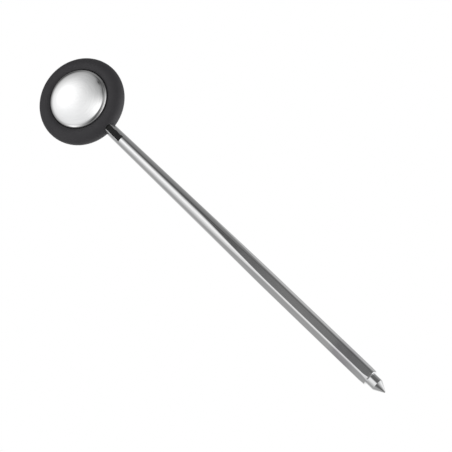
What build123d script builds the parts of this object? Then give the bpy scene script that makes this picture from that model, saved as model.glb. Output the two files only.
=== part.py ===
from build123d import *
import os

# Reflex hammer of the Babinski pattern: a rubber ring on a domed disc, screwed on a tapering hexagonal
# handle.
# The origin is the centre of the disc, in the middle of the ring's thickness.
# +Z is the disc's axis, out of its domed face.  +X runs along the handle, from the head to the point.

# Rubber ring: a round section, cut off inside by the lips that grip the disc's flange
RING_OUTER_R = 21.65
RING_SECTION_R = 4.5
RING_LIP_R = 14.9
LIP_ROUNDING = 0.35

# Disc: a flange held in the ring's groove, a domed button in front and a flat boss behind
FLANGE_R = 18.0
FLANGE_HALF = 2.8
FLANGE_EDGE = 0.4
DOME_R = 14.8
DOME_SHOULDER_Z = 5.1
DOME_TOP_Z = 7.1
SHOULDER_ROUNDING = 2.4
BOSS_R = 14.0
BOSS_Z = -3.9
BOSS_ROUNDING = 0.6

# Threads, drawn plain: the stud at its major diameter, the hole a running clearance wider
STUD_R = 2.0
STUD_LENGTH = 9.4
SCREW_CLEARANCE = 0.05
SOCKET_DEPTH = 10.0
REAR_SOCKET_DEPTH = 7.0
SOCKET_MOUTH = 0.5
RELIEF_R = 1.6
RELIEF_LENGTH = 0.9

# Handle: a hexagonal bar with its corners taken off, turned to a 1:50 taper that leaves it round near
# the head
HEX_ACROSS_FLATS = 7.2
HEX_CORNER_R = 4.0
HEX_CLOCKING = 15.5
NECK_X = 22.4
NECK_DIAMETER = 5.8
TAPER = 1 / 50
BORE_CLEARANCE = 0.06
SPANNER_FLATS = 5.0
SPANNER_START_X = 19.6
SPANNER_END_X = 30.5
FLATS_START_DEPTH = 0.01
NOSE_CHAMFER_LENGTH = 3.0
NOSE_CHAMFER_DROP = 0.2
END_BREAK = 0.15
HANDLE_END_X = 194.8

# Point: a short round stub and a cone with a blunted tip, on a threaded shank
POINT_R = 2.8
STUB_LENGTH = 4.3
TIP_X = 203.7
TIP_BLUNT_R = 0.25
TIP_ROUNDING = 0.2
SHANK_R = 1.5
SHANK_LENGTH = 6.4
SHANK_CHAMFER = 0.3
SHANK_HOLE_DEPTH = 7.0

# Cutting shapes run this far past what they cut, and edges are found to within this distance
CUT_MARGIN = 1.0
FOUND_WITHIN = 0.01


def turned_about_z(points):
    """Solid of revolution about Z from an outline of (radius, z) points."""
    return revolve(Plane.XZ * make_face(Polyline(*points, close=True)), axis=Axis.Z)


def turned_about_x(points):
    """Solid of revolution about X from an outline of (x, radius) points."""
    return revolve(make_face(Polyline(*points, close=True)), axis=Axis.X)


def circles_at(part, radius, height):
    """The circular edges about Z that have this radius and height."""
    circles = part.edges().filter_by(GeomType.CIRCLE)
    return circles.filter_by(
        lambda edge: abs(edge.radius - radius) < FOUND_WITHIN
        and abs(edge.arc_center.Z - height) < FOUND_WITHIN)


def taper_radius(x):
    """Radius of the handle's taper at a distance x from the disc's centre."""
    return (NECK_DIAMETER + (x - NECK_X) * TAPER) / 2


def head_disc():
    """One turned piece: the flange, the domed button and the rear boss, with the two handle sockets."""
    body = dome_cap() + turned_about_z([
        (0, DOME_SHOULDER_Z), (0, BOSS_Z), (BOSS_R, BOSS_Z), (BOSS_R, -FLANGE_HALF),
        (FLANGE_R - FLANGE_EDGE, -FLANGE_HALF), (FLANGE_R, FLANGE_EDGE - FLANGE_HALF),
        (FLANGE_R, FLANGE_HALF - FLANGE_EDGE), (FLANGE_R - FLANGE_EDGE, FLANGE_HALF),
        (DOME_R, FLANGE_HALF), (DOME_R, DOME_SHOULDER_Z)])
    body = fillet(circles_at(body, DOME_R, DOME_SHOULDER_Z), SHOULDER_ROUNDING)
    body = fillet(circles_at(body, BOSS_R, BOSS_Z), BOSS_ROUNDING)
    return body - radial_socket() - rear_socket()


def dome_cap():
    """The spherical crown above the button's shoulder."""
    rise = DOME_TOP_Z - DOME_SHOULDER_Z
    sphere_r = (DOME_R ** 2 + rise ** 2) / (2 * rise)
    ball = Pos(0, 0, DOME_TOP_Z - sphere_r) * Sphere(sphere_r)
    keep = Pos(0, 0, DOME_SHOULDER_Z) * Cylinder(
        DOME_R + CUT_MARGIN, rise + CUT_MARGIN, align=(Align.CENTER, Align.CENTER, Align.MIN))
    return ball & keep


def radial_socket():
    """Threaded hole in the flange's rim, along +X, with a countersunk mouth."""
    hole_r = STUD_R + SCREW_CLEARANCE
    return turned_about_x([
        (FLANGE_R - SOCKET_DEPTH - hole_r / 2, 0), (FLANGE_R - SOCKET_DEPTH, hole_r),
        (FLANGE_R - SOCKET_MOUTH, hole_r), (FLANGE_R, hole_r + SOCKET_MOUTH),
        (FLANGE_R + CUT_MARGIN, hole_r + SOCKET_MOUTH), (FLANGE_R + CUT_MARGIN, 0)])


def rear_socket():
    """Threaded hole in the centre of the rear boss, where the handle can stand square to the disc."""
    hole_r = STUD_R + SCREW_CLEARANCE
    return turned_about_z([
        (0, BOSS_Z - CUT_MARGIN), (hole_r + SOCKET_MOUTH, BOSS_Z - CUT_MARGIN),
        (hole_r + SOCKET_MOUTH, BOSS_Z),
        (hole_r, BOSS_Z + SOCKET_MOUTH), (hole_r, BOSS_Z + SOCKET_MOUTH + REAR_SOCKET_DEPTH),
        (0, BOSS_Z + SOCKET_MOUTH + REAR_SOCKET_DEPTH + hole_r / 2)])


def rubber_ring():
    """The striking ring, stretched over the flange, with a radial hole for the handle's neck."""
    centre_r = RING_OUTER_R - RING_SECTION_R
    section = Pos(centre_r, 0) * Circle(RING_SECTION_R)
    section -= Pos(RING_LIP_R, 0) * Rectangle(
        2 * RING_SECTION_R, 4 * RING_SECTION_R, align=(Align.MAX, Align.CENTER))
    groove_corner = FLANGE_R - FLANGE_EDGE
    groove = make_face(Polyline(
        (RING_LIP_R - CUT_MARGIN, -FLANGE_HALF), (groove_corner, -FLANGE_HALF),
        (FLANGE_R, FLANGE_EDGE - FLANGE_HALF), (FLANGE_R, FLANGE_HALF - FLANGE_EDGE),
        (groove_corner, FLANGE_HALF), (RING_LIP_R - CUT_MARGIN, FLANGE_HALF),
        close=True))
    section -= groove
    lip_tips = section.vertices().filter_by(lambda corner: corner.X < RING_LIP_R + FOUND_WITHIN)
    section = fillet(lip_tips, LIP_ROUNDING)
    ring = revolve(Plane.XZ * section, axis=Axis.Z)
    neck_hole_r = taper_radius(RING_OUTER_R) + BORE_CLEARANCE
    return ring - Pos(RING_OUTER_R, 0, 0) * Rot(0, 90, 0) * Cylinder(neck_hole_r, 2 * RING_SECTION_R)


def taper_x(radius):
    """Distance from the disc's centre at which the handle's taper reaches a radius."""
    return NECK_X + (2 * radius - NECK_DIAMETER) / TAPER


def turned_blank():
    """The handle as it leaves the lathe: stud, taper, straight end and the chamfers on its nose."""
    stud_x = FLANGE_R - STUD_LENGTH
    nose_x = HANDLE_END_X - END_BREAK
    nose_r = HEX_CORNER_R - NOSE_CHAMFER_DROP
    return turned_about_x([
        (stud_x, 0), (stud_x, RELIEF_R), (stud_x + STUD_R - RELIEF_R, STUD_R),
        (FLANGE_R - RELIEF_LENGTH, STUD_R), (FLANGE_R - RELIEF_LENGTH, RELIEF_R), (FLANGE_R, RELIEF_R),
        (FLANGE_R, taper_radius(FLANGE_R)), (taper_x(HEX_CORNER_R), HEX_CORNER_R),
        (nose_x - NOSE_CHAMFER_LENGTH, HEX_CORNER_R), (nose_x, nose_r),
        (HANDLE_END_X, nose_r - END_BREAK), (HANDLE_END_X, 0)])


def flat_cut(angle):
    """What one flat of the hexagon leaves off, its face turned from +Z towards -Y by an angle."""
    start_x = taper_x(HEX_ACROSS_FLATS / 2 + FLATS_START_DEPTH)
    block = Box(HANDLE_END_X, 4 * HEX_CORNER_R, HEX_CORNER_R, align=(Align.MIN, Align.CENTER, Align.MIN))
    return Rot(angle, 0, 0) * Pos(start_x, 0, HEX_ACROSS_FLATS / 2) * block


def spanner_cut():
    """Everything outside the two spanner flats, on the stretch beside the ring."""
    length = SPANNER_END_X - SPANNER_START_X
    width = 4 * HEX_CORNER_R
    place = Pos((SPANNER_START_X + SPANNER_END_X) / 2, 0, 0)
    return place * (Box(length, width, width) - Box(length, width, SPANNER_FLATS))


def handle():
    """Hexagonal bar turned to the taper, with the head's stud and the hole for the point's shank."""
    bar = turned_blank()
    for flat in range(6):
        bar -= flat_cut(HEX_CLOCKING + 30 + 60 * flat)
    hole_r = SHANK_R + SCREW_CLEARANCE
    shank_hole = turned_about_x([
        (HANDLE_END_X - SHANK_HOLE_DEPTH - hole_r / 2, 0), (HANDLE_END_X - SHANK_HOLE_DEPTH, hole_r),
        (HANDLE_END_X + CUT_MARGIN, hole_r), (HANDLE_END_X + CUT_MARGIN, 0)])
    return bar - spanner_cut() - shank_hole


def point():
    """The scratch point: threaded shank, round stub and blunted cone."""
    shank_x = HANDLE_END_X - SHANK_LENGTH
    cone_x = HANDLE_END_X + STUB_LENGTH
    body = turned_about_x([
        (shank_x, 0), (shank_x, SHANK_R - SHANK_CHAMFER), (shank_x + SHANK_CHAMFER, SHANK_R),
        (HANDLE_END_X, SHANK_R),
        (HANDLE_END_X, POINT_R), (cone_x, POINT_R), (TIP_X, TIP_BLUNT_R), (TIP_X, 0)])
    tip_edge = body.edges().filter_by(lambda edge: abs(edge.center().X - TIP_X) < FOUND_WITHIN)
    return fillet(tip_edge, TIP_ROUNDING)


NODES = {"head_disc": head_disc, "rubber_ring": rubber_ring, "handle": handle, "point": point}

os.makedirs("parts", exist_ok=True)
for name, make in NODES.items():
    solid = make()
    solid.label = name
    export_step(solid, f"parts/{name}.step")
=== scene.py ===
import math

import bmesh
import bpy
from mathutils import Matrix, Vector


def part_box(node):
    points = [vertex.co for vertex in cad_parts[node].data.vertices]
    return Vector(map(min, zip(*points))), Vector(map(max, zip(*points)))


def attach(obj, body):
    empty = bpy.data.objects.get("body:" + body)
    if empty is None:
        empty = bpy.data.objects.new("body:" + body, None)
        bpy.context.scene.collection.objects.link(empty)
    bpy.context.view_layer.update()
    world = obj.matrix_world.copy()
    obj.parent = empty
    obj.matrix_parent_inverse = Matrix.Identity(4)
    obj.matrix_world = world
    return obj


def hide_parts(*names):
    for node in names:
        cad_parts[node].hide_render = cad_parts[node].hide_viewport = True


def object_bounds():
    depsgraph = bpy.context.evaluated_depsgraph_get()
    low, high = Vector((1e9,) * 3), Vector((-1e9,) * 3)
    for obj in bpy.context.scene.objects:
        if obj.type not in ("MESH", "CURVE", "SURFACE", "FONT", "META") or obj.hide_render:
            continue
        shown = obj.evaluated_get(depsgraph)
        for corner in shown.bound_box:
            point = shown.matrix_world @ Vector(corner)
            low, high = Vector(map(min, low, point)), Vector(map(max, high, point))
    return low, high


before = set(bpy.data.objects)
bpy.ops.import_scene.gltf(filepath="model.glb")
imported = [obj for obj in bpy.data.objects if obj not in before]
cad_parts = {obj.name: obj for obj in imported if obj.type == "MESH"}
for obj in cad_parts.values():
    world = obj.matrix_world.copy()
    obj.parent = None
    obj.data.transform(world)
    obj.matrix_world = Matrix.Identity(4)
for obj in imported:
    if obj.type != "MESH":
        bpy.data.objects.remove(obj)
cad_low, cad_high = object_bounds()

# Reflex hammer of the Babinski pattern, in the frame of its CAD model: the disc's centre is the origin,
# +Z comes out of its domed face and +X runs along the handle to the point.
# Shapes are worked out in millimetres and angles in degrees, and meshes are made in metres.
MM = 0.001

# What the frame gives
DISC_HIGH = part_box("head_disc")[1] / MM
DISC_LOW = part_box("head_disc")[0] / MM
RING_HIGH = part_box("rubber_ring")[1] / MM
HANDLE_LOW, HANDLE_HIGH = (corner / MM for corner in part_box("handle"))
POINT_LOW, POINT_HIGH = (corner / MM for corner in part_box("point"))

FLANGE_R = DISC_HIGH.y
DOME_TOP_Z = DISC_HIGH.z
BOSS_Z = DISC_LOW.z
RING_OUTER_R = RING_HIGH.y
RING_SECTION_R = RING_HIGH.z
STUD_X = HANDLE_LOW.x
HANDLE_END_X = HANDLE_HIGH.x
SHANK_X = POINT_LOW.x
TIP_X = POINT_HIGH.x
POINT_R = POINT_HIGH.y

# Ring and disc
RING_LIP_R = 14.9
LIP_ROUNDING = 0.35
LIP_TURN_BACK = 4
GROOVE_ROUNDING = 0.15
NECK_HOLE_CLEARANCE = 0.06
NECK_HOLE_MARGIN = 4
FLANGE_HALF = 2.8
FLANGE_EDGE = 0.4
FLANGE_ROUNDING = 0.08
DOME_R = 14.8
DOME_SHOULDER_Z = 5.1
SHOULDER_ROUNDING = 2.4
DOME_FOOT_ROUNDING = 0.1
BOSS_R = 14.0
BOSS_ROUNDING = 0.6
BOSS_FOOT_ROUNDING = 0.2

# Threads
STUD_R = 2.0
STUD_PITCH = 0.7
SHANK_R = 1.5
SHANK_PITCH = 0.5
SCREW_CLEARANCE = 0.05
SOCKET_DEPTH = 10.0
REAR_SOCKET_DEPTH = 7.0
SOCKET_MOUTH = 0.5
RELIEF_R = 1.6
RELIEF_LENGTH = 0.9
RELIEF_WALL = 0.05
RELIEF_ROUNDING = 0.1
THREAD_DEPTH = 0.55
SOCKET_THREAD_SHARE = 0.6
THREAD_STEEPNESS = 2.6
THREAD_CREST = 0.8
FINE_ROUNDING = 0.05
SHANK_HOLE_DEPTH = 7.0
HOLE_MOUTH = 0.15

# Handle
HEX_ACROSS_FLATS = 7.2
HEX_CORNER_R = 4.0
HEX_ROUNDING = 1.04
HEX_CLOCKING = 15.5
NECK_X = 22.4
NECK_DIAMETER = 5.8
NECK_ROUNDING = 0.12
TAPER = 1 / 50
TARNISH_START_X = 172.0
TARNISH_END_X = 190.0
TARNISH_FADE_IN = 4
TARNISH_FADE_OUT = 8
FACET_BLEND = 0.08
SPANNER_FLATS = 5.0
SPANNER_START_X = 19.6
SPANNER_END_X = 30.5
SPANNER_LEAST_COSINE = 0.2
SPANNER_WITHIN = 0.02
FACES_UP = 0.999
NOSE_CHAMFER_LENGTH = 3.0
NOSE_CHAMFER_DROP = 0.2
NOSE_ROUNDING = 0.4
END_BREAK = 0.15
EDGE_SOFTNESS = 0.05
END_SOFTNESS = 0.1

# Point
STUB_LENGTH = 4.3
TIP_BLUNT_R = 0.25
TIP_ROUNDING = 0.2
STUB_EDGE = 0.1
SHANK_CHAMFER = 0.3
SHANK_RUN_OUT = 0.3
SHANK_FLANK = 0.1

# Wear: bands of (how far in from an edge, width), and the hexagon's corners
SHOULDER_WEAR = (0.7, 0.5)
BOSS_WEAR = (0.2, 0.3)
HANDLE_END_WEAR = (0.4, 0.5)
TIP_WEAR = (0, 0.8)
ABOVE_FLANGE = 0.5
NEAR_BOSS_FACE = 0.4
CORNER_WEAR = 0.8
CORNER_WEAR_TURN = 3.5
CORNER_WEAR_START_X = 95
CORNER_WEAR_FADE = 30

# Meshes
SEGMENTS_ROUND = 288
SEGMENTS_BORE = 72
SECTION_STEPS = 80
DOME_STEPS = 40
DISC_CORNER_STEPS = 12
THREAD_STEPS = 12
SOCKET_THREAD_STEPS = 6
LONGEST_ON_DISC = 1.0
LONGEST_ON_HANDLE = 1.5
LONGEST_ON_POINT = 0.25
SMOOTH_BELOW = 34
CUT_MARGIN = 1
FOUND_WITHIN = 0.01

# Camera, aimed at a point 4.5 mm beside the handle's axis.  A separate fitting program found these values.
CAMERA_AIM = Vector((0.0985, 0.0045, 0.0))
CAMERA_DISTANCE = 0.6316
CAMERA_AZIMUTH = 5.09
CAMERA_ELEVATION = 67.44
CAMERA_ROLL = -51.88
CAMERA_LENS = 111.5
CAMERA_SENSOR = 36.0

# Studio light: how bright each direction is, as lobes of (azimuth, elevation, sharpness, amount).
# A separate least-squares program made these numbers: they are not lights placed by hand.
HORIZON_LEVEL = 0.01
OVERHEAD_LIGHT = (0, 90, 1.84, 1.33)
FLOOR_LIGHT = (0, -90, 1.9, 1.15)
DARK_FLAGS = (
    (121, 43, 11, 0.9), (173, 18, 13, 0.96), (135, 55.5, 600, 0.95), (76, -33, 3, 0.88),
    (-13, 30, 6.2, 0.96), (24, 67, 5.8, 0.96), (90, 17, 13.6, 0.96), (103, 63, 45, 0.95))
SOFT_LIGHTS = (
    (-171, 45, 28, 0.78), (38, -23, 4.7, 1.6), (-78, 23, 33, 1.1), (70, 83, 38, 1.03))
BACKDROP_RADIUS = 3.0


# ---------------------------------------------------------------- outlines

def rounded(corners, steps=6):
    """An outline through (axial, radius, rounding) corners, each replaced by an arc of its rounding."""
    outline = []
    for index, (axial, radius, rounding) in enumerate(corners):
        here = Vector((axial, radius))
        if rounding == 0:
            outline.append((axial, radius))
            continue
        back = (Vector(corners[index - 1][:2]) - here).normalized()
        ahead = (Vector(corners[(index + 1) % len(corners)][:2]) - here).normalized()
        half_angle = back.angle(ahead) / 2
        centre = here + (back + ahead).normalized() * rounding / math.sin(half_angle)
        first = here + back * rounding / math.tan(half_angle) - centre
        last = here + ahead * rounding / math.tan(half_angle) - centre
        for step in range(steps + 1):
            spoke = first.slerp(last, step / steps)
            outline.append(tuple(centre + spoke * rounding))
    return outline


def arc(centre_axial, centre_radius, radius, start, end, steps):
    """Outline points on an arc, with angles turned from the axial direction towards the radial one."""
    angles = [math.radians(start + (end - start) * step / steps) for step in range(steps + 1)]
    return [(centre_axial + radius * math.cos(angle), centre_radius + radius * math.sin(angle))
            for angle in angles]


def filled_in(outline, longest):
    """The outline with its long stretches divided, so that no step along the axis is over longest(axial)."""
    dense = [outline[0]]
    for (axial_0, radius_0), (axial_1, radius_1) in zip(outline, outline[1:]):
        pieces = max(1, math.ceil(abs(axial_1 - axial_0) / longest((axial_0 + axial_1) / 2)))
        for step in range(1, pieces + 1):
            part = step / pieces
            dense.append((axial_0 + (axial_1 - axial_0) * part, radius_0 + (radius_1 - radius_0) * part))
    return dense


def thread_ridge(axial, angle, pitch, start, end):
    """How far into a thread's groove a place is, from 0 on the crest to 1 at the root, faded at both ends."""
    turn = (axial / pitch - angle / (2 * math.pi)) % 1
    groove = min(1, max(0, THREAD_STEEPNESS * abs(2 * turn - 1) - THREAD_CREST))
    run_out = min(1, max(0, min(axial - start, end - axial) / pitch))
    return groove * run_out


def soft_min(one, other, blend):
    """The smaller of two radii, with the crease between them rounded off."""
    overlap = max(0, blend - abs(one - other)) / blend
    return min(one, other) - overlap * overlap * blend / 4


def taper_radius(axial):
    """Radius of the handle's taper at a distance from the disc's centre."""
    return (NECK_DIAMETER + (axial - NECK_X) * TAPER) / 2


# ---------------------------------------------------------------- meshes

def turned(name, outline, axis, segments=SEGMENTS_ROUND, shape=None, wear=None, ring=False):
    """A piece turned about X or Z from (axial, radius) points.

    shape(axial, radius, angle) may change the radius.
    wear(axial, radius, angle) is kept on the mesh as an attribute for the materials.  A ring's outline closes
    on itself, and any other outline starts and ends on the axis.
    """
    bm = bmesh.new()
    wear_layer = bm.verts.layers.float.new("wear")

    def place(axial, radius, angle):
        if shape:
            radius = shape(axial, radius, angle)
        across, up = radius * math.sin(angle), radius * math.cos(angle)
        spot = (axial, across, up) if axis == "X" else (up, across, axial)
        vert = bm.verts.new([value * MM for value in spot])
        vert[wear_layer] = wear(axial, radius, angle) if wear else 0.0
        return vert

    rows = []
    for axial, radius in outline:
        if radius < 1e-6:
            pole = place(axial, 0.0, 0.0)
            rows.append([pole] * segments)
        else:
            rows.append([place(axial, radius, 2 * math.pi * k / segments) for k in range(segments)])
    if ring:
        rows.append(rows[0])
    for row, following in zip(rows, rows[1:]):
        for k in range(segments):
            after = (k + 1) % segments
            loop = [row[k], row[after], following[after], following[k]]
            corners = list(dict.fromkeys(loop))
            if len(corners) > 2:
                bm.faces.new(corners)
    bmesh.ops.recalc_face_normals(bm, faces=bm.faces)
    return new_piece(name, bm)


def new_piece(name, bm):
    """A mesh object in the scene, smooth except across its crisp edges."""
    mesh = bpy.data.meshes.new(name)
    bm.to_mesh(mesh)
    bm.free()
    piece = bpy.data.objects.new(name, mesh)
    bpy.context.scene.collection.objects.link(piece)
    smooth(piece)
    return piece


def smooth(piece):
    """Smooth shading, broken where two faces meet at a crisp angle."""
    for face in piece.data.polygons:
        face.use_smooth = True
    piece.data.set_sharp_from_angle(angle=math.radians(SMOOTH_BELOW))


def cut(piece, tool):
    """Takes the tool's volume out of the piece, and removes the tool."""
    modifier = piece.modifiers.new("cut", "BOOLEAN")
    modifier.object = tool
    modifier.operation = "DIFFERENCE"
    modifier.solver = "EXACT"
    graph = bpy.context.evaluated_depsgraph_get()
    mesh = bpy.data.meshes.new_from_object(piece.evaluated_get(graph))
    piece.modifiers.clear()
    piece.data = mesh
    bpy.data.objects.remove(tool)
    smooth(piece)


# ---------------------------------------------------------------- the four pieces

def ring_shape():
    """The rubber ring: a round section whose inner lips grip the disc's flange, with the neck's hole."""
    section_centre = RING_OUTER_R - RING_SECTION_R
    lip_turn = math.degrees(math.acos((RING_LIP_R - section_centre) / RING_SECTION_R))
    lip_z = RING_SECTION_R * math.sin(math.radians(lip_turn))
    free_turn = lip_turn - LIP_TURN_BACK
    groove_corner = FLANGE_R - FLANGE_EDGE
    round_part = arc(
        0, section_centre, RING_SECTION_R, 90 + free_turn, 90 - free_turn, SECTION_STEPS)
    outer = [(z, r, 0) for z, r in round_part]
    ring = turned("rubber_ring_moulded", rounded(outer + [
        (lip_z, RING_LIP_R, LIP_ROUNDING), (FLANGE_HALF, RING_LIP_R, GROOVE_ROUNDING),
        (FLANGE_HALF, groove_corner, 0),
        (FLANGE_HALF - FLANGE_EDGE, FLANGE_R, 0), (FLANGE_EDGE - FLANGE_HALF, FLANGE_R, 0),
        (-FLANGE_HALF, groove_corner, 0), (-FLANGE_HALF, RING_LIP_R, GROOVE_ROUNDING),
        (-lip_z, RING_LIP_R, LIP_ROUNDING)]), "Z", ring=True)
    neck_hole_r = taper_radius(RING_OUTER_R) + NECK_HOLE_CLEARANCE
    tool = turned("neck_hole", rounded([
        (FLANGE_R - NECK_HOLE_MARGIN, 0, 0), (FLANGE_R - NECK_HOLE_MARGIN, neck_hole_r, 0),
        (RING_OUTER_R + NECK_HOLE_MARGIN, neck_hole_r, 0), (RING_OUTER_R + NECK_HOLE_MARGIN, 0, 0)]),
        "X", SEGMENTS_BORE)
    cut(ring, tool)
    return ring


def disc_shape():
    """The disc: domed button, flange, rear boss, and the two threaded sockets."""
    rise = DOME_TOP_Z - DOME_SHOULDER_Z
    sphere_r = (DOME_R ** 2 + rise ** 2) / (2 * rise)
    cap_angle = math.degrees(math.asin((DOME_R - SHOULDER_ROUNDING) / sphere_r))
    cap = [(z, r, 0) for z, r in arc(DOME_TOP_Z - sphere_r, 0, sphere_r, 0, cap_angle, DOME_STEPS)]
    hole_r = STUD_R + SCREW_CLEARANCE
    mouth_z = BOSS_Z + SOCKET_MOUTH
    floor_z = mouth_z + REAR_SOCKET_DEPTH
    corners = cap + [
        (DOME_SHOULDER_Z, DOME_R, SHOULDER_ROUNDING), (FLANGE_HALF, DOME_R, DOME_FOOT_ROUNDING),
        (FLANGE_HALF, FLANGE_R - FLANGE_EDGE, FLANGE_ROUNDING),
        (FLANGE_HALF - FLANGE_EDGE, FLANGE_R, FLANGE_ROUNDING),
        (FLANGE_EDGE - FLANGE_HALF, FLANGE_R, FLANGE_ROUNDING),
        (-FLANGE_HALF, FLANGE_R - FLANGE_EDGE, FLANGE_ROUNDING),
        (-FLANGE_HALF, BOSS_R, BOSS_FOOT_ROUNDING), (BOSS_Z, BOSS_R, BOSS_ROUNDING),
        (BOSS_Z, hole_r + SOCKET_MOUTH, FLANGE_ROUNDING), (mouth_z, hole_r, FINE_ROUNDING),
        (floor_z, hole_r, 0),
        (floor_z + hole_r / 2, 0, 0)]
    outline = filled_in(
        rounded(corners, DISC_CORNER_STEPS),
        lambda z: STUD_PITCH / THREAD_STEPS if z < floor_z else LONGEST_ON_DISC)

    def socket_thread(z, r, angle):
        if r > hole_r + FOUND_WITHIN or not mouth_z < z < floor_z:
            return r
        ridge = thread_ridge(z, angle, STUD_PITCH, mouth_z, floor_z)
        return r - THREAD_DEPTH * STUD_PITCH * SOCKET_THREAD_SHARE * ridge

    disc = turned("head_disc_turned", outline, "Z", shape=socket_thread, wear=disc_wear)
    cut(disc, radial_socket_tool())
    return disc


def worn_band(place, edge, band):
    """Wear in a band beside an edge, fading away on both sides."""
    inward, width = band
    return math.exp(-((place - edge + inward) / width) ** 2)


def disc_wear(z, r, angle):
    """The plating is thinnest round the dome's shoulder and the boss's edge."""
    shoulder = worn_band(r, DOME_R, SHOULDER_WEAR) if z > FLANGE_HALF + ABOVE_FLANGE else 0
    boss_edge = worn_band(r, BOSS_R, BOSS_WEAR) if z < BOSS_Z + NEAR_BOSS_FACE else 0
    return max(shoulder, boss_edge)


def radial_socket_tool():
    """The volume of the threaded hole in the flange's rim."""
    hole_r = STUD_R + SCREW_CLEARANCE
    floor_x = FLANGE_R - SOCKET_DEPTH
    mouth_x = FLANGE_R - SOCKET_MOUTH
    corners = [
        (floor_x - hole_r / 2, 0, 0), (floor_x, hole_r, 0), (mouth_x, hole_r, 0),
        (FLANGE_R, hole_r + SOCKET_MOUTH, 0), (FLANGE_R + CUT_MARGIN, hole_r + SOCKET_MOUTH, 0),
        (FLANGE_R + CUT_MARGIN, 0, 0)]

    def socket_thread(x, r, angle):
        if r < hole_r - FOUND_WITHIN or not floor_x < x < mouth_x:
            return r
        ridge = thread_ridge(x, angle, STUD_PITCH, floor_x, mouth_x)
        return r - THREAD_DEPTH * STUD_PITCH * SOCKET_THREAD_SHARE * ridge

    outline = filled_in(rounded(corners), lambda x: STUD_PITCH / SOCKET_THREAD_STEPS)
    return turned("radial_socket", outline, "X", SEGMENTS_BORE, shape=socket_thread)


def hexagon_radius(angle):
    """Distance from the axis to the hexagon's surface, whose corners are rounded."""
    from_corner = (math.degrees(angle) + HEX_CLOCKING + 30) % 60 - 30
    from_flat = math.radians(30 - abs(from_corner))
    inradius = HEX_ACROSS_FLATS / 2
    core = inradius - HEX_ROUNDING
    if math.tan(from_flat) < core / math.sqrt(3) / inradius:
        return inradius / math.cos(from_flat)
    reach = core / math.cos(math.pi / 6)
    aside = math.radians(abs(from_corner))
    return reach * math.cos(aside) + math.sqrt(HEX_ROUNDING ** 2 - (reach * math.sin(aside)) ** 2)


def handle_shape():
    """The handle: threaded stud, neck with two spanner flats, taper, hexagon, nose and threaded hole."""
    nose_x = HANDLE_END_X - END_BREAK
    nose_r = HEX_CORNER_R - NOSE_CHAMFER_DROP
    full_x = NECK_X + (2 * HEX_CORNER_R - NECK_DIAMETER) / TAPER
    thread_end_x = FLANGE_R - RELIEF_LENGTH
    hole_r = SHANK_R + SCREW_CLEARANCE
    hole_floor_x = HANDLE_END_X - SHANK_HOLE_DEPTH
    on_taper = [
        SPANNER_START_X - FOUND_WITHIN, SPANNER_START_X + FOUND_WITHIN,
        SPANNER_END_X - FOUND_WITHIN, SPANNER_END_X + FOUND_WITHIN, full_x]
    corners = [
        (STUD_X, 0, 0), (STUD_X, RELIEF_R, FINE_ROUNDING), (STUD_X + STUD_R - RELIEF_R, STUD_R, 0),
        (thread_end_x, STUD_R, FINE_ROUNDING), (thread_end_x + RELIEF_WALL, RELIEF_R, 0),
        (FLANGE_R, RELIEF_R, RELIEF_ROUNDING), (FLANGE_R, taper_radius(FLANGE_R), NECK_ROUNDING)]
    corners += [(x, taper_radius(x), 0) for x in on_taper]
    corners += [
        (nose_x - NOSE_CHAMFER_LENGTH, HEX_CORNER_R, NOSE_ROUNDING), (nose_x, nose_r, END_SOFTNESS),
        (HANDLE_END_X, nose_r - END_BREAK, EDGE_SOFTNESS),
        (HANDLE_END_X, hole_r + HOLE_MOUTH, FINE_ROUNDING),
        (HANDLE_END_X - HOLE_MOUTH, hole_r, 0), (hole_floor_x, hole_r, 0), (hole_floor_x - hole_r / 2, 0, 0)]

    def longest(x):
        threaded = x < thread_end_x or x > hole_floor_x
        return STUD_PITCH / THREAD_STEPS if threaded else LONGEST_ON_HANDLE

    def section(x, r, angle):
        if x < thread_end_x and r > RELIEF_R + FOUND_WITHIN:
            return r - THREAD_DEPTH * STUD_PITCH * thread_ridge(x, angle, STUD_PITCH, STUD_X, thread_end_x)
        if SPANNER_START_X < x < SPANNER_END_X:
            return min(r, SPANNER_FLATS / 2 / max(SPANNER_LEAST_COSINE, abs(math.cos(angle))))
        if x > hole_floor_x and r < hole_r + FOUND_WITHIN:
            groove = thread_ridge(x, angle, SHANK_PITCH, hole_floor_x, HANDLE_END_X)
            return r - SOCKET_THREAD_SHARE * THREAD_DEPTH * SHANK_PITCH * groove
        if r > taper_radius(SPANNER_END_X):
            return soft_min(r, hexagon_radius(angle), FACET_BLEND)
        return r

    outline = filled_in(rounded(corners), longest)
    return turned("handle_tapered_hexagon", outline, "X", shape=section, wear=handle_wear)


def handle_wear(x, r, angle):
    """The plating is thinnest on the hexagon's corners and round the end of the bar."""
    from_corner = (math.degrees(angle) + HEX_CLOCKING + 30) % 60 - 30
    hexagonal = min(1, max(0, (x - CORNER_WEAR_START_X) / CORNER_WEAR_FADE))
    corner = math.exp(-(from_corner / CORNER_WEAR_TURN) ** 2) * hexagonal
    end = worn_band(x, HANDLE_END_X, HANDLE_END_WEAR) if r > POINT_R else 0
    return max(CORNER_WEAR * corner, end)


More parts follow.
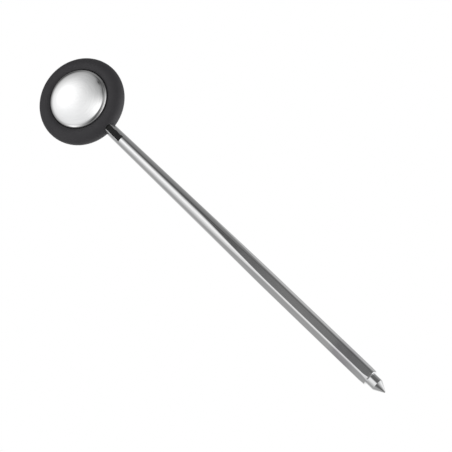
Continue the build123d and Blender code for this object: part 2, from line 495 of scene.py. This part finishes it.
def point_shape():
    """The scratch point: threaded shank, stub, cone and blunted tip."""
    cone_x = HANDLE_END_X + STUB_LENGTH
    corners = [
        (SHANK_X, 0, 0), (SHANK_X, SHANK_R - SHANK_CHAMFER, FINE_ROUNDING),
        (SHANK_X + SHANK_CHAMFER, SHANK_R, 0), (HANDLE_END_X, SHANK_R, FINE_ROUNDING),
        (HANDLE_END_X, POINT_R, STUB_EDGE), (cone_x, POINT_R, STUB_EDGE),
        (TIP_X, TIP_BLUNT_R, TIP_ROUNDING), (TIP_X, 0, 0)]

    def section(x, r, angle):
        if x > HANDLE_END_X or r < SHANK_R - SHANK_FLANK:
            return r
        ridge = thread_ridge(x, angle, SHANK_PITCH, SHANK_X, HANDLE_END_X - SHANK_RUN_OUT)
        return r - THREAD_DEPTH * SHANK_PITCH * ridge

    outline = filled_in(
        rounded(corners),
        lambda x: SHANK_PITCH / THREAD_STEPS if x < HANDLE_END_X else LONGEST_ON_POINT)
    return turned("scratch_point", outline, "X", shape=section, wear=point_wear)


def point_wear(x, r, angle):
    """The tip is rubbed by use."""
    return worn_band(x, TIP_X, TIP_WEAR)


# ---------------------------------------------------------------- materials

class Graph:
    """Shader nodes of one material, wired as they are added."""

    def __init__(self, name):
        self.material = bpy.data.materials.new(name)
        self.material.use_nodes = True
        self.tree = self.material.node_tree
        self.shader = self.tree.nodes["Principled BSDF"]

    def node(self, kind, inputs=(), **settings):
        """A node with its settings.  Its inputs, by name or number, are values or other nodes' outputs."""
        made = self.tree.nodes.new(kind)
        for key, value in settings.items():
            setattr(made, key, value)
        for key, value in dict(inputs).items():
            self.feed(made.inputs[key], value)
        return made

    def feed(self, socket, value):
        """Wires an output to a socket, or sets a plain value on it."""
        if isinstance(value, bpy.types.NodeSocket):
            self.tree.links.new(value, socket)
        else:
            socket.default_value = value

    def maths(self, operation, one, other=0.0):
        return self.node("ShaderNodeMath", {0: one, 1: other}, operation=operation).outputs[0]

    def spread(self, value, low, high, to_low, to_high):
        """The value's range from low to high, laid on another range and held at its ends."""
        inputs = {"Value": value, "From Min": low, "From Max": high, "To Min": to_low, "To Max": to_high}
        return self.node("ShaderNodeMapRange", inputs).outputs["Result"]

    def ramp(self, value, low, high):
        """From 0 to 1 as the value goes from low to high."""
        return self.spread(value, low, high, 0.0, 1.0)

    def scaled(self, value, factor):
        return self.maths("MULTIPLY", value, factor)

    def noise(self, vector, scale, detail, roughness):
        inputs = {"Vector": vector, "Scale": scale, "Detail": detail, "Roughness": roughness}
        return self.node("ShaderNodeTexNoise", inputs).outputs["Fac"]

    def blend(self, factor, one, other):
        """A colour between two others."""
        made = self.node("ShaderNodeMix", data_type="RGBA")
        self.feed(made.inputs["Factor"], factor)
        self.feed(made.inputs["A"], one)
        self.feed(made.inputs["B"], other)
        return made.outputs["Result"]

    def stretched(self, vector, factors):
        """Coordinates stretched along each axis, so that noise on them runs in lines."""
        return self.node("ShaderNodeMapping", {"Vector": vector, "Scale": factors}).outputs["Vector"]

    def place(self):
        """Coordinates in the object's own frame, in metres."""
        return self.node("ShaderNodeTexCoord").outputs["Object"]

    def attribute(self, name):
        return self.node("ShaderNodeAttribute", attribute_name=name).outputs["Fac"]


def grey(level, warmth=0.0):
    """A grey, slightly warm or cool."""
    return (level * (1 + warmth), level, level * (1 - warmth), 1)


def round_axis(graph, place, axis, along, around):
    """Coordinates of (distance from an axis, turn about it, position along it) for turning marks."""
    parts = graph.node("ShaderNodeSeparateXYZ", {"Vector": place}).outputs
    one, other, axial = (parts[letter] for letter in ("YZX" if axis == "X" else "XYZ"))
    distance = graph.maths("SQRT", graph.maths("ADD", graph.maths("MULTIPLY", one, one),
                                               graph.maths("MULTIPLY", other, other)))
    turn = graph.maths("ARCTAN2", one, other)
    inputs = {
        "X": graph.maths("MULTIPLY", distance, along),
        "Y": graph.maths("MULTIPLY", turn, around),
        "Z": graph.maths("MULTIPLY", axial, along)}
    return graph.node("ShaderNodeCombineXYZ", inputs).outputs["Vector"]


# Colours on the chrome, as shares of its tint
HAZE = 0.955
POLISHING_LINES = 0.8
WORN = 0.8
PITS = 0.45
TARNISH = (0.76, 0.745, 0.775)


def chrome(name, marks, tint, base_roughness, tarnish=None):
    """Polished chrome plate.  marks(graph, place) gives coordinates along which the polishing lines run.

    tarnish(graph, place) gives how tarnished each place is, from 0 to 1.
    """
    graph = Graph(name)
    place = graph.place()
    lines = graph.noise(marks(graph, place), scale=1.0, detail=3.0, roughness=0.6)
    smudges = graph.noise(place, scale=160.0, detail=3.0, roughness=0.55)
    haze = graph.noise(place, scale=45.0, detail=2.0, roughness=0.5)
    hairline_places = graph.stretched(graph.node("ShaderNodeMapping", {
        "Vector": place, "Rotation": (0.3, 0.2, 0.9)}).outputs["Vector"], (900.0, 9000.0, 9000.0))
    hairlines = graph.ramp(graph.noise(hairline_places, scale=1.0, detail=1.0, roughness=0.4), 0.68, 0.74)
    pits = graph.ramp(graph.noise(place, scale=2600.0, detail=1.0, roughness=0.4), 0.76, 0.82)
    worn = graph.maths("MULTIPLY", graph.attribute("wear"), graph.spread(smudges, 0.35, 0.65, 0.25, 1.0))

    clean = graph.blend(graph.ramp(haze, 0.35, 0.65), grey(tint), grey(tint * HAZE, -0.006))
    clean = graph.blend(graph.spread(lines, 0.42, 0.68, 0.0, 0.5), clean, grey(tint * POLISHING_LINES, -0.01))
    if tarnish:
        clean = graph.blend(tarnish(graph, place), clean, (*(tint * share for share in TARNISH), 1))
    dulled = graph.blend(graph.scaled(worn, 0.5), clean, grey(tint * WORN, 0.02))
    speckled = graph.blend(graph.scaled(pits, 0.45), dulled, grey(tint * PITS, 0.03))
    graph.feed(graph.shader.inputs["Base Color"], speckled)

    roughness = graph.spread(smudges, 0.3, 0.7, base_roughness * 0.75, base_roughness * 1.3)
    roughness = graph.maths("ADD", roughness, graph.spread(lines, 0.4, 0.7, 0.0, 0.03))
    roughness = graph.maths("ADD", roughness, graph.scaled(hairlines, 0.05))
    roughness = graph.maths("ADD", roughness, graph.scaled(worn, 0.12))
    graph.feed(graph.shader.inputs["Roughness"], roughness)

    height = graph.maths("ADD", lines, graph.scaled(hairlines, -0.6))
    height = graph.maths("ADD", height, graph.scaled(pits, -1.5))
    bump = graph.node("ShaderNodeBump", {"Height": height, "Strength": 0.35, "Distance": 0.0000015})
    graph.feed(graph.shader.inputs["Normal"], bump.outputs["Normal"])
    graph.shader.inputs["Metallic"].default_value = 1.0
    return graph.material


def dark_flats_material():
    """The milled spanner flats, coloured near black, with fine cutter marks across them."""
    graph = Graph("dark_spanner_flats")
    place = graph.place()
    cutter = graph.noise(graph.stretched(place, (9000.0, 500.0, 500.0)), scale=1.0, detail=2.0, roughness=0.6)
    patches = graph.noise(place, scale=900.0, detail=3.0, roughness=0.6)
    colour = graph.blend(graph.ramp(patches, 0.35, 0.7), grey(0.007), grey(0.018, 0.04))
    graph.feed(graph.shader.inputs["Base Color"], colour)
    graph.feed(graph.shader.inputs["Roughness"], graph.spread(cutter, 0.3, 0.7, 0.34, 0.5))
    bump = graph.node("ShaderNodeBump", {"Height": cutter, "Strength": 0.5, "Distance": 0.00001})
    graph.feed(graph.shader.inputs["Normal"], bump.outputs["Normal"])
    graph.shader.inputs["Specular IOR Level"].default_value = 0.22
    return graph.material


def moulded_rubber():
    """Dark striking rubber: a satin moulded skin with a fine grain, faint bloom and rub marks."""
    graph = Graph("moulded_rubber")
    place = graph.place()
    grain = graph.noise(place, scale=5200.0, detail=3.0, roughness=0.6)
    flow = graph.noise(place, scale=240.0, detail=4.0, roughness=0.6)
    bloom = graph.noise(place, scale=70.0, detail=2.0, roughness=0.5)
    rubs_places = graph.stretched(place, (700.0, 700.0, 2400.0))
    rubs = graph.ramp(graph.noise(rubs_places, scale=1.0, detail=3.0, roughness=0.6), 0.6, 0.74)
    dust = graph.ramp(graph.noise(place, scale=3800.0, detail=1.0, roughness=0.3), 0.77, 0.83)

    darker, lighter = (0.045, 0.043, 0.048, 1), (0.053, 0.051, 0.056, 1)
    colour = graph.blend(graph.ramp(bloom, 0.35, 0.65), darker, lighter)
    colour = graph.blend(graph.scaled(rubs, 0.25), colour, grey(0.075))
    colour = graph.blend(graph.scaled(dust, 0.35), colour, grey(0.16))
    graph.feed(graph.shader.inputs["Base Color"], colour)

    roughness = graph.spread(flow, 0.3, 0.7, 0.56, 0.68)
    roughness = graph.maths("ADD", roughness, graph.scaled(rubs, 0.08))
    graph.feed(graph.shader.inputs["Roughness"], roughness)

    height = graph.maths("ADD", grain, graph.scaled(flow, 1.6))
    bump = graph.node("ShaderNodeBump", {"Height": height, "Strength": 0.6, "Distance": 0.00003})
    graph.feed(graph.shader.inputs["Normal"], bump.outputs["Normal"])
    graph.shader.inputs["Specular IOR Level"].default_value = 0.45
    return graph.material


def disc_marks(graph, place):
    """Fine circles about the disc's axis, left by its turning and buffing."""
    return round_axis(graph, place, "Z", 7000.0, 1.5)


def handle_marks(graph, place):
    """Fine lines along the handle, left by its polishing."""
    return graph.stretched(place, (70.0, 4200.0, 4200.0))


def point_marks(graph, place):
    """Fine circles about the handle's axis, left on the point by its turning."""
    return round_axis(graph, place, "X", 9000.0, 1.0)


def handle_tarnish(graph, place):
    """A patchy band of tarnish short of the handle's end, and faint patches along the rest."""
    along = graph.node("ShaderNodeSeparateXYZ", {"Vector": place}).outputs["X"]
    into = graph.ramp(along, TARNISH_START_X * MM, (TARNISH_START_X + TARNISH_FADE_IN) * MM)
    out = graph.spread(along, (TARNISH_END_X - TARNISH_FADE_OUT) * MM, TARNISH_END_X * MM, 1.0, 0.0)
    patches = graph.noise(graph.stretched(place, (150.0, 420.0, 420.0)), scale=1.0, detail=3.0, roughness=0.6)
    band = graph.maths("MULTIPLY", into, out)
    band = graph.maths("MULTIPLY", band, graph.spread(patches, 0.3, 0.6, 0.45, 1.0))
    return graph.maths("ADD", band, graph.spread(patches, 0.56, 0.72, 0.0, 0.25))


def finish_with(piece, *materials):
    """The piece's materials, in the order of its faces' material numbers."""
    piece.data.materials.clear()
    for material in materials:
        piece.data.materials.append(material)


def darken_spanner_flats(handle):
    """Gives the handle's second material to the faces of its two spanner flats."""
    for face in handle.data.polygons:
        centre = face.center / MM
        beside_ring = SPANNER_START_X < centre.x < SPANNER_END_X
        faces_up = abs(face.normal.z) > FACES_UP
        on_flat = abs(abs(centre.z) - SPANNER_FLATS / 2) < SPANNER_WITHIN
        if beside_ring and faces_up and on_flat:
            face.material_index = 1


# ---------------------------------------------------------------- studio

def direction(azimuth, elevation):
    """Unit vector of a direction given in degrees."""
    level = math.cos(math.radians(elevation))
    return Vector((
        level * math.cos(math.radians(azimuth)), level * math.sin(math.radians(azimuth)),
        math.sin(math.radians(elevation))))


def studio_light():
    """The world: a bright overhead and floor, darkened by the flags, with the soft lights added."""
    world = bpy.data.worlds.new("studio")
    bpy.context.scene.world = world
    world.use_nodes = True
    tree = world.node_tree
    looking = tree.nodes.new("ShaderNodeTexCoord").outputs["Generated"]

    def maths(operation, one, other):
        made = tree.nodes.new("ShaderNodeMath")
        made.operation = operation
        for socket, value in zip(made.inputs, (one, other)):
            if isinstance(value, bpy.types.NodeSocket):
                tree.links.new(value, socket)
            else:
                socket.default_value = value
        return made.outputs[0]

    def lobe(azimuth, elevation, sharpness, amount):
        """amount * exp(sharpness * (cosine of the angle from the lobe's middle - 1))."""
        facing = tree.nodes.new("ShaderNodeVectorMath")
        facing.operation = "DOT_PRODUCT"
        tree.links.new(looking, facing.inputs[0])
        facing.inputs[1].default_value = direction(azimuth, elevation)
        fall = maths("MULTIPLY", maths("SUBTRACT", facing.outputs["Value"], 1.0), sharpness)
        return maths("MULTIPLY", maths("EXPONENT", fall, 0.0), amount)

    level = maths("ADD", maths("ADD", lobe(*OVERHEAD_LIGHT), lobe(*FLOOR_LIGHT)), HORIZON_LEVEL)
    for flag in DARK_FLAGS:
        level = maths("MULTIPLY", level, maths("SUBTRACT", 1.0, lobe(*flag)))
    for light in SOFT_LIGHTS:
        level = maths("ADD", level, lobe(*light))
    background = tree.nodes["Background"]
    background.inputs["Color"].default_value = (1.0, 1.0, 1.0, 1.0)
    tree.links.new(level, background.inputs["Strength"])


def plain_glow(name, level):
    """An even pale surface that takes no shadow."""
    material = bpy.data.materials.new(name)
    material.use_nodes = True
    tree = material.node_tree
    tree.nodes.remove(tree.nodes["Principled BSDF"])
    glow = tree.nodes.new("ShaderNodeEmission")
    glow.inputs["Color"].default_value = (1.0, 1.0, 1.0, 1.0)
    glow.inputs["Strength"].default_value = level
    tree.links.new(glow.outputs["Emission"], tree.nodes["Material Output"].inputs["Surface"])
    return material


def backdrop():
    """A pale floor at the object's lowest point, and a pale dome round it, seen by the camera alone."""
    bm = bmesh.new()
    bmesh.ops.create_circle(bm, cap_ends=True, segments=96, radius=BACKDROP_RADIUS)
    bmesh.ops.translate(bm, verts=bm.verts, vec=(0, 0, cad_low.z))
    floor = new_piece("floor", bm)
    bm = bmesh.new()
    bmesh.ops.create_uvsphere(bm, u_segments=64, v_segments=32, radius=BACKDROP_RADIUS)
    dome = new_piece("backdrop_dome", bm)
    for surface in (floor, dome):
        finish_with(surface, plain_glow(surface.name + "_glow", 1.0))
        surface.visible_glossy = False
        surface.visible_diffuse = False
        surface.visible_shadow = False
        surface.visible_transmission = False


def camera():
    """The camera, at the viewing angle that the hammer is shown from."""
    data = bpy.data.cameras.new("camera")
    data.sensor_width = CAMERA_SENSOR
    data.lens = CAMERA_LENS
    made = bpy.data.objects.new("camera", data)
    bpy.context.scene.collection.objects.link(made)
    back = direction(CAMERA_AZIMUTH, CAMERA_ELEVATION)
    level = (-back).to_track_quat("-Z", "Y").to_matrix().to_4x4()
    made.matrix_world = (
        Matrix.Translation(CAMERA_AIM + back * CAMERA_DISTANCE)
        @ level @ Matrix.Rotation(math.radians(CAMERA_ROLL), 4, "Z"))
    bpy.context.scene.camera = made


# ---------------------------------------------------------------- the hammer

camera()
studio_light()
backdrop()

ring = ring_shape()
finish_with(ring, moulded_rubber())
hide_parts("rubber_ring")
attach(ring, "head")

disc = disc_shape()
finish_with(disc, chrome("disc_chrome", disc_marks, tint=0.87, base_roughness=0.07))
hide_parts("head_disc")
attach(disc, "head")

handle = handle_shape()
handle_chrome = chrome(
    "handle_chrome", handle_marks, tint=0.86, base_roughness=0.09, tarnish=handle_tarnish)
finish_with(handle, handle_chrome, dark_flats_material())
darken_spanner_flats(handle)
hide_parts("handle")
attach(handle, "handle")

point = point_shape()
finish_with(point, chrome("point_chrome", point_marks, tint=0.86, base_roughness=0.08))
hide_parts("point")
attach(point, "point")

bpy.context.scene.view_settings.view_transform = "Standard"
